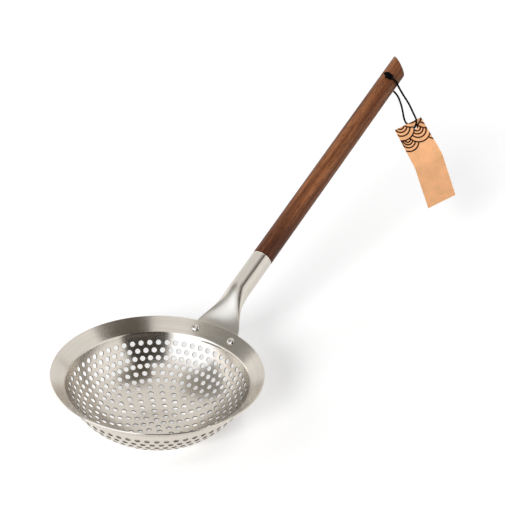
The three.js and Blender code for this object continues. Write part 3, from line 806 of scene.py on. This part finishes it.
def rivet_points(azimuth, columns):
    """Profile (radius, height) carried round the flange's normal at the middle of the flange."""
    spin = np.linspace(0.0, 2 * np.pi, columns, endpoint=False)[:, None]
    out = np.array([np.cos(azimuth), np.sin(azimuth), 0.0])
    aside = np.array([-np.sin(azimuth), np.cos(azimuth), 0.0])
    up = np.array([0.0, 0.0, 1.0])
    normal = -np.sin(FLANGE_SLOPE) * out + np.cos(FLANGE_SLOPE) * up
    climb = np.cos(FLANGE_SLOPE) * out + np.sin(FLANGE_SLOPE) * up
    seat = RIVET_SEAT_RADIUS * out + (RIM_Z - FLANGE_RISE / 2) * up
    ring = climb * np.cos(spin) + aside * np.sin(spin)
    radius, height = RIVET_PROFILE.T[..., None, None]
    return (seat + radius * ring + height * normal).reshape(-1, 3)


rivet_index = np.arange(len(RIVET_PROFILE) * RIVET_COLUMNS).reshape(-1, RIVET_COLUMNS)
rivet_faces = quads(closed(rivet_index)[:, ::-1]).tolist()
for side_name, azimuth in (("left", RIVET_AZIMUTH), ("right", -RIVET_AZIMUTH)):
    make_piece("rivet_dome_" + side_name, rivet_points(azimuth, RIVET_COLUMNS), rivet_faces,
               rivet_steel, "skimmer", "rivet_" + side_name)

# %% [markdown]
# ## Walnut
# The handle is dark walnut with the grain along it: broad darker bands, finer streaks inside
# them, and short open pores. Each is noise drawn out along the handle, at its own width. The
# wood is darker near the socket and lighter towards the end, and it has an oiled, not glossy,
# face.

# %% Walnut finish
# Each pair runs from the wood near the socket to the wood near the end.
DARK_WOOD = (0.080, 0.025, 0.010, 1), (0.168, 0.054, 0.019, 1)
LIGHT_WOOD = (0.165, 0.055, 0.024, 1), (0.360, 0.140, 0.053, 1)
STREAK_TINTS = (0.56, 0.52, 0.49, 1), (1.28, 1.26, 1.23, 1)
PORE_TONE = (0.020, 0.007, 0.003, 1)
PALE_FROM, PALE_TO = 0.14, 0.21
DRIFT = 0.9
# How often each kind of grain changes in a metre, along and across, and its detail.
GRAIN = {"bands": (9.0, 230.0, 3.0), "fine": (40.0, 1300.0, 3.0),
         "pores": (260.0, 3600.0, 1.0), "drift": (16.0, 60.0, 1.0)}

walnut, tree, shader, place = finish("oiled_walnut", 0.5)
along_handle = node(tree, "Mapping", {"Vector": place, "Rotation": (0.0, HANDLE_SLOPE, 0.0)})
grain_place = along_handle.outputs[0]
bands, fine, pores, drift = (
    use_group(tree, STREAKS, {
        "Vector": grain_place, "Stretch": (along, across, across), "Detail": detail})
    for along, across, detail in GRAIN.values())
pore_mask = mask(tree, pores, 0.60, 0.68)
length = node(tree, "SeparateXYZ", {0: grain_place}).outputs[0]
drifted = calculate(tree, "MULTIPLY_ADD", drift, DRIFT, -DRIFT / 2)
paler = calculate(tree, "ADD", mask(tree, length, PALE_FROM, PALE_TO), drifted, clamp=True)
wood = blend(tree, mask(tree, bands, 0.38, 0.62),
             blend(tree, paler, *DARK_WOOD), blend(tree, paler, *LIGHT_WOOD))
streaked = blend(tree, mask(tree, fine, 0.3, 0.7), *STREAK_TINTS)
toned = node(tree, "VectorMath", {0: wood, 1: streaked}, operation="MULTIPLY").outputs[0]
oil = use_group(tree, BLOTCHES, {"Vector": place, "Scale": 70.0, "Low": 0.42, "High": 0.56})
fill(tree, shader.inputs, {
    "Base Color": blend(tree, pore_mask, toned, PORE_TONE), "Roughness": oil,
    "Specular IOR Level": 0.2})
relief(tree, shader, 0.35, 0.00012, calculate(tree, "SUBTRACT", fine, pore_mask))
print("finish:", walnut.name)

# %% [markdown]
# ## The handle
# The handle is a round bar with a tenon for the socket and a slanted end. Each ring of points
# keeps its angle, and its place along the bar leans with the slant towards the end. The rings
# on the end face shrink to a point in the slanted plane. The bore for the cord is cut out last,
# with a boolean, because it crosses the bar's grid at no natural line.

# %% Handle
HANDLE_END = 265.7
END_LEAN = np.tan(np.radians(37.5))
END_EASE = 0.5
TENON_RADIUS = 6.15
TENON_START = 31.8
TENON_EASE = 0.6
SHOULDER = 59.1
SHOULDER_EASE = 0.3
HANDLE_ROWS = 60
HANDLE_COLUMNS = 72


def handle_points():
    """Rings of (place, radius, lean): a point lies at place + lean * slant * across along the
    bar, and lean grows from 0 at the shoulder to 1 at the slanted end."""
    spin = np.linspace(0.0, 2 * np.pi, HANDLE_COLUMNS, endpoint=False)
    bar_start = SHOULDER + SHOULDER_EASE
    rings = [
        (TENON_START, 0.01, 0.0), (TENON_START, TENON_RADIUS - TENON_EASE, 0.0),
        (TENON_START + TENON_EASE, TENON_RADIUS, 0.0), (SHOULDER, TENON_RADIUS, 0.0),
        (SHOULDER, HANDLE_RADIUS - SHOULDER_EASE, 0.0),
        (SHOULDER + 0.08, HANDLE_RADIUS - 0.09, 0.0), (bar_start, HANDLE_RADIUS, 0.0)]
    straight = HANDLE_END - END_EASE - bar_start
    rings += [(bar_start + straight * share, HANDLE_RADIUS, share)
              for share in np.linspace(0.0, 1.0, HANDLE_ROWS)[1:]]
    rings += [(HANDLE_END - 0.15, HANDLE_RADIUS - 0.14, 1.0),
              (HANDLE_END, HANDLE_RADIUS - END_EASE, 1.0)]
    rings += [(HANDLE_END, HANDLE_RADIUS * k, 1.0) for k in (0.8, 0.6, 0.4, 0.2, 0.002)]
    along, radius, lean = np.array(rings).T[..., None]
    across, square = radius * np.cos(spin), radius * np.sin(spin)
    return on_handle(np.stack([along + lean * END_LEAN * across, across, square], -1))


handle_table = handle_points().reshape(-1, 3)
handle_index = np.arange(len(handle_table)).reshape(-1, HANDLE_COLUMNS)
handle = make_piece("handle_bar", handle_table, capped(handle_index), walnut,
                    "skimmer", "handle")

# %% Bore
BORE_SIDES = 24
BORE_PROFILE = np.array([
    (-12.0, 2.4), (-8.0, 2.1), (-7.2, BORE_RADIUS), (7.2, BORE_RADIUS), (8.0, 2.1), (12.0, 2.4)])
SHARP_EDGE = np.radians(38.0)

spin = np.linspace(0.0, 2 * np.pi, BORE_SIDES, endpoint=False)
height, radius = BORE_PROFILE.T[..., None]
drill_points = at_bore(np.stack(np.broadcast_arrays(
    radius * np.cos(spin), radius * np.sin(spin), height), -1)).reshape(-1, 3)
drill_index = np.arange(len(drill_points)).reshape(-1, BORE_SIDES)
drill_mesh = bpy.data.meshes.new("drill")
drill_mesh.from_pydata((drill_points * MM).tolist(), [], capped(drill_index))
drill = bpy.data.objects.new("drill", drill_mesh)
bpy.context.scene.collection.objects.link(drill)
cutter = handle.modifiers.new("bore", "BOOLEAN")
cutter.object = drill
cutter.operation = "DIFFERENCE"
cutter.solver = "EXACT"
cut_handle = handle.evaluated_get(bpy.context.evaluated_depsgraph_get())
drilled = bpy.data.meshes.new_from_object(cut_handle)
handle.modifiers.clear()
handle.data = drilled
handle.data.set_sharp_from_angle(angle=SHARP_EDGE)
bpy.data.objects.remove(drill)
print("handle after drilling:", len(handle.data.polygons), "faces")

# %% [markdown]
# ## The card tag
# The tag is a strip of kraft card with a punched hole and one soft bend across it. It is cut
# and punched flat like the bowl, and then bent: down to the fold it stays flat, then it turns
# on a radius, and the rest runs straight on.

# %% Bend of the tag
TAG_FOLD = -25.9
TAG_BEND = np.radians(40.8)
TAG_BEND_RADIUS = 7.0
TAG_CARD = 0.5
TAG_PLACE = np.array([-3.05, -19.68, -40.04])
TAG_YAW, TAG_ROLL, TAG_PITCH = np.radians([-34.9, -2.04, -56.95])
TAG_TURN = np.array(Matrix.Rotation(TAG_YAW, 3, "Z") @ Matrix.Rotation(TAG_ROLL, 3, "Y")
                    @ Matrix.Rotation(TAG_PITCH, 3, "X"))


def press_tag(flat, depth):
    """Flat below the fold is turned by angle = clip(drop / radius, 0, bend) out of the card's
    plane: first round the bend's circle, then straight on. The front faces away from +Y."""
    drop = np.clip(TAG_FOLD - flat[:, 1], 0.0, None)
    bend = np.clip(drop / TAG_BEND_RADIUS, 0.0, TAG_BEND)
    straight = drop - bend * TAG_BEND_RADIUS
    away = TAG_BEND_RADIUS * (1 - np.cos(bend)) + straight * np.sin(bend)
    down = TAG_BEND_RADIUS * np.sin(bend) + straight * np.cos(bend)
    normal = np.column_stack([np.zeros(len(flat)), -np.cos(bend), -np.sin(bend)])
    middle = np.column_stack([flat[:, 0], away, np.maximum(flat[:, 1], TAG_FOLD) - down])
    local = middle + normal * (TAG_CARD / 2 - depth)[:, None]
    return at_bore(TAG_PLACE + local @ TAG_TURN.T), normal @ TAG_TURN.T @ HANDLE_AXES


print("tag hangs at", np.round(at_bore(TAG_PLACE), 1), "mm")

# %% Blank of the tag
TAG_LEFT = -15.2
TAG_RIGHT = 9.2
TAG_TAPER = 1.2
TAG_TOP = 5.0
TAG_FOOT = -68.2
TAG_EASE = 0.08
TAG_EDGE_POINTS = (22, 40, 26, 22, 66)
TAG_HOLE = np.array([0.0, -0.2])
TAG_HOLE_RADIUS = 1.3
TAG_HOLE_SIDES = 24
TAG_GRID = (20, 63)
TAG_MARGIN = 1.1
TAG_HOLE_MARGIN = 0.6


def tag_outline(inset):
    """The card's straight edges, anticlockwise; the right one leans in from fold to top."""
    left, right = TAG_LEFT + inset, TAG_RIGHT - inset
    foot, top = TAG_FOOT + inset, TAG_TOP - inset
    corners = np.array([
        (left, foot), (right, foot), (right, TAG_FOLD), (right - TAG_TAPER, top), (left, top)])
    runs = [a + (b - a) * np.linspace(0.0, 1.0, count, endpoint=False)[:, None]
            for a, b, count in zip(corners, np.roll(corners, -1, axis=0), TAG_EDGE_POINTS)]
    return np.concatenate(runs)


def tag_holes(inset):
    """The one punched hole, clockwise."""
    t = -np.linspace(0.0, 2 * np.pi, TAG_HOLE_SIDES, endpoint=False)
    return (TAG_HOLE + (TAG_HOLE_RADIUS + inset) * np.stack([np.cos(t), np.sin(t)], -1))[None]


def tag_guides():
    """A grid of inner points, clear of the hole."""
    a, b = np.meshgrid(
        np.linspace(TAG_LEFT + TAG_MARGIN, TAG_RIGHT - TAG_TAPER - TAG_MARGIN, TAG_GRID[0]),
        np.linspace(TAG_FOOT + TAG_MARGIN, TAG_TOP - TAG_MARGIN, TAG_GRID[1]))
    points = np.stack([a.ravel(), b.ravel()], axis=1)
    gap = np.linalg.norm(points - TAG_HOLE, axis=1)
    return points[gap > TAG_HOLE_RADIUS + TAG_HOLE_MARGIN]


tag_points, tag_normals, tag_blank, tag_faces = punched_sheet(
    tag_outline, tag_holes, tag_guides(), press_tag, TAG_CARD, TAG_EASE)
print("tag points", len(tag_points))

# %% [markdown]
# ## The card's print
# Kraft card is brown and full of short fibres. Overlapping wave scales, an old textile pattern,
# are printed across the top in dark brown. A scale is a disc with five lines in it, each a
# circle that is smaller and stands higher than the last. One group draws a scale over what lies
# below it, and the scales are laid over each other from the back.

# %% Wave scales
# Each scale: its centre across and up the card, and its radius.
SCALES = [(12.9, -7.4, 8.1), (-9.8, -8.2, 7.8), (1.2, -3.4, 9.3),
          (-9.85, 3.5, 9.75), (11.5, 4.5, 9.6), (0.5, 9.4, 8.7)]
# Each line: its radius and how far its centre stands up, as shares of the scale's radius.
SCALE_LINES = [(1.0, 0.0), (0.68, 0.07), (0.49, 0.2), (0.29, 0.26), (0.15, 0.42)]
LINE_HALF_WIDTH = 0.6

WAVE_SCALE, given, result = group(
    "wave_scale", ["Vector", "Centre"], {"Radius": 9.0, "Below": 0.0}, "Ink")
from_centre = node(WAVE_SCALE, "VectorMath", {
    0: given["Vector"], 1: given["Centre"]}, operation="SUBTRACT").outputs[0]
lines = 0.0
for share, lift in SCALE_LINES:
    middle = node(WAVE_SCALE, "VectorMath", {
        0: (0.0, lift, 0.0), "Scale": given["Radius"]}, operation="SCALE")
    reach = node(WAVE_SCALE, "VectorMath", {
        0: from_centre, 1: middle.outputs[0]}, operation="DISTANCE")
    size = calculate(WAVE_SCALE, "MULTIPLY", given["Radius"], share)
    line = calculate(WAVE_SCALE, "COMPARE", reach.outputs["Value"], size, LINE_HALF_WIDTH)
    lines = calculate(WAVE_SCALE, "MAXIMUM", lines, line)
disc = node(WAVE_SCALE, "VectorMath", {0: from_centre}, operation="LENGTH").outputs["Value"]
inside = calculate(WAVE_SCALE, "LESS_THAN", disc, given["Radius"])
covered = calculate(WAVE_SCALE, "MAXIMUM", inside, lines)
laid = node(WAVE_SCALE, "Mix", {0: covered, 2: given["Below"], 3: lines})
fill(WAVE_SCALE, result, {"Ink": laid.outputs[0]})
print(len(SCALES), "scales of", len(SCALE_LINES), "lines")

# %% Card finish
FIBRE_TONES = (0.60, 0.280, 0.115, 1), (1.00, 0.570, 0.300, 1)
CLOUD_TONE = (0.96, 0.500, 0.250, 1)
INK_TONE = (0.042, 0.010, 0.003, 1)
PRINT_DEPTH = 0.1

kraft, tree, shader, place = finish("kraft_card", 0.8)
on_card, depth = in_blank(tree)
ink = 0.0
for across, up, radius in SCALES:
    ink = use_group(tree, WAVE_SCALE, {
        "Vector": on_card, "Centre": (across, up, 0.0), "Radius": radius, "Below": ink})
front = calculate(tree, "LESS_THAN", depth, PRINT_DEPTH)
printed = calculate(tree, "MULTIPLY", ink, front)
fibres = use_group(tree, STREAKS, {
    "Vector": on_card, "Stretch": (0.9, 0.45, 0.0), "Detail": 6.0})
cloud = use_group(tree, BLOTCHES, {"Vector": place, "Scale": 120.0, "Low": 0.0, "High": 1.0})
clouded = blend(tree, cloud, blend(tree, fibres, *FIBRE_TONES), CLOUD_TONE)
fill(tree, shader.inputs, {
    "Base Color": blend(tree, printed, clouded, INK_TONE), "Specular IOR Level": 0.15})
relief(tree, shader, 0.2, 0.00008, fibres)

make_piece("card_tag", tag_points, tag_faces, kraft,
           "tag", "tag", tag_normals, tag_blank)

# %% [markdown]
# ## The cord's route
# The cord leaves the lower mouth of the bore and ends in the knot on top, and the tag is
# threaded on it.

# %% [markdown]
# ## Floor and light
# The object stands on a plain white floor that melts into a white surround. For what the camera
# and mirrors see, the floor adds a little light of its own, so that it reads as white and still
# takes the soft shadow. That light fades where something close by closes off the side towards
# the lamps, as a broad light's would. Below the bowl some of it is given back, because light
# sifts down through the holes there. Two broad lamps stand on the left: the key is low and near
# the camera, and a weaker and wider fill stands further round and higher. They are suns with
# wide discs, because those light the floor evenly to its far edge and still give soft shadows.
# The steel doesn't mirror them: it has cards of its own.

# %% Floor
FLOOR_HALF = 6.0
FLOOR_TONE = (0.8, 0.8, 0.8, 1)
FLOOR_GLOW = 0.47
SIDE_REACH = 0.020
GLOW_AZIMUTH = np.radians(165.0)
GLOW_HEIGHT = np.radians(12.0)
SIEVE_GLOW = 0.45
COVER_REACH = 0.03
COVERED, UNCOVERED = 0.16, 0.40
WHITE = (1, 1, 1, 1)


def direction(azimuth, height):
    """Unit vector towards an azimuth from +X and a height over the floor."""
    level = np.cos(height)
    return np.array([level * np.cos(azimuth), level * np.sin(azimuth), np.sin(height)])


def seen_by_eye(tree):
    """1 for rays from the camera, from mirrors and through glass, 0 for scattered light."""
    path = node(tree, "LightPath").outputs
    mirrors = calculate(tree, "MAXIMUM", path["Is Glossy Ray"], path["Is Transmission Ray"])
    return calculate(tree, "MAXIMUM", path["Is Camera Ray"], mirrors)


floor_white, tree, shader, _ = finish("white_floor", 0.9)
towards_light = node(
    tree, "CombineXYZ", dict(enumerate(direction(GLOW_AZIMUTH, GLOW_HEIGHT).tolist())))
open_side = node(tree, "AmbientOcclusion", {
    "Distance": SIDE_REACH, "Normal": towards_light.outputs[0]}).outputs["AO"]
cover = node(tree, "AmbientOcclusion", {"Distance": COVER_REACH}).outputs["AO"]
sifted = node(tree, "MapRange", {
    "Value": cover, "From Min": COVERED, "From Max": UNCOVERED,
    "To Min": SIEVE_GLOW, "To Max": 0.0}).outputs[0]
lit = calculate(tree, "MULTIPLY_ADD", open_side, FLOOR_GLOW, sifted)
fill(tree, shader.inputs, {
    "Base Color": FLOOR_TONE, "Specular IOR Level": 0.0, "Emission Color": WHITE,
    "Emission Strength": calculate(tree, "MULTIPLY", seen_by_eye(tree), lit)})

floor_mesh = bpy.data.meshes.new("floor")
floor_mesh.from_pydata([(-FLOOR_HALF, -FLOOR_HALF, 0), (FLOOR_HALF, -FLOOR_HALF, 0),
                        (FLOOR_HALF, FLOOR_HALF, 0), (-FLOOR_HALF, FLOOR_HALF, 0)],
                       [], [(0, 1, 2, 3)])
floor_mesh.materials.append(floor_white)
floor = bpy.data.objects.new("floor", floor_mesh)
bpy.context.scene.collection.objects.link(floor)
print("floor", 2 * FLOOR_HALF, "m wide")

# %% World and lamps
SKY_LIGHT = 0.3
LAMP_DISTANCE = 2.0
# Each lamp: azimuth, height, strength and the width of its disc, angles in degrees.
LAMPS = {"key": (190.5, 27.0, 2.1, 17.0), "fill": (146.0, 38.0, 0.5, 34.0)}


def aimed(place, back):
    """Matrix of an object at place whose -Z looks away from back, with its X level."""
    right = unit(np.cross([0.0, 0.0, 1.0], back))
    turned = Matrix(np.stack([right, np.cross(back, right), back], 1).tolist()).to_4x4()
    return Matrix.Translation(place) @ turned


world = bpy.data.worlds.new("white_surround")
bpy.context.scene.world = world
world.use_nodes = True
tree = world.node_tree
strength = node(tree, "MapRange", {
    "Value": seen_by_eye(tree), "To Min": SKY_LIGHT, "To Max": 1.0}).outputs[0]
fill(tree, tree.nodes["Background"].inputs, {"Strength": strength, "Color": WHITE})

for name, (azimuth, height, energy, disc) in LAMPS.items():
    lamp = bpy.data.objects.new(name, bpy.data.lights.new(name, "SUN"))
    lamp.data.energy = energy
    lamp.data.angle = np.radians(disc)
    lamp.visible_glossy = False
    towards_lamp = direction(np.radians(azimuth), np.radians(height))
    lamp.matrix_world = aimed(LAMP_DISTANCE * towards_lamp, towards_lamp)
    bpy.context.scene.collection.objects.link(lamp)
    print(name, "towards", np.round(towards_lamp, 2))
bpy.context.scene.view_settings.view_transform = "Standard"

# %% [markdown]
# ## Cards for the steel to mirror
# Polished steel shows its surroundings, and in an all-white room it looks like grey plastic. A
# photographer stands dark and white cards around it. Here each card glows evenly at its own
# level, and only mirrors see it: it gives no light, casts no shadow and stays out of the picture.

# %% Mirror cards
CARD_DISTANCE = 1.4
CARD_POINTS = 12
# Each card: azimuth from and to, height from and to, in degrees, and its glow.
MIRROR_CARDS = {
    "softbox_low": (138.0, 198.0, 2.0, 36.0, (1.9, 2.02, 2.2, 1)),
    "softbox_high": (145.0, 198.0, 36.0, 48.0, (1.9, 2.02, 2.2, 1)),
    "pale_card": (145.0, 172.0, 48.0, 54.0, (0.5, 0.49, 0.46, 1)),
    "dark_card_low": (-157.0, -98.0, 0.0, 57.0, (0.05, 0.045, 0.04, 1)),
    "dark_card_high": (-128.0, -48.0, 51.0, 79.0, (0.09, 0.075, 0.055, 1)),
    "grey_card_low": (86.0, 138.0, 24.0, 36.0, (0.33, 0.34, 0.34, 1)),
    "grey_card_mid": (86.0, 145.0, 36.0, 57.0, (0.33, 0.33, 0.31, 1)),
    "grey_card_high": (86.0, 152.0, 57.0, 67.0, (0.36, 0.345, 0.29, 1)),
    "white_card_far": (80.0, 138.0, 0.0, 19.0, (1.9, 1.9, 1.9, 1)),
    "white_card_near": (-98.0, -45.0, 2.0, 47.0, (1.2, 1.2, 1.2, 1))}


def mirror_card(name, left, right, low, high, glow):
    """A curved card: points at one distance from the bowl, over a range of azimuth and height."""
    azimuth, height = np.meshgrid(np.radians(np.linspace(left, right, CARD_POINTS)),
                                  np.radians(np.linspace(low, high, CARD_POINTS)))
    points = CARD_DISTANCE * np.moveaxis(direction(azimuth, height), 0, -1)
    index = np.arange(azimuth.size).reshape(azimuth.shape)
    mesh = bpy.data.meshes.new(name)
    mesh.from_pydata(points.reshape(-1, 3).tolist(), [], quads(index).tolist())
    material, tree, shader, _ = finish(name, 1.0)
    fill(tree, shader.inputs, {
        "Base Color": (0, 0, 0, 1), "Specular IOR Level": 0.0,
        "Emission Color": glow, "Emission Strength": 1.0})
    mesh.materials.append(material)
    card = bpy.data.objects.new(name, mesh)
    card.visible_camera = card.visible_diffuse = card.visible_shadow = False
    bpy.context.scene.collection.objects.link(card)


for name, facts in MIRROR_CARDS.items():
    mirror_card(name, *facts)
print(len(MIRROR_CARDS), "cards")
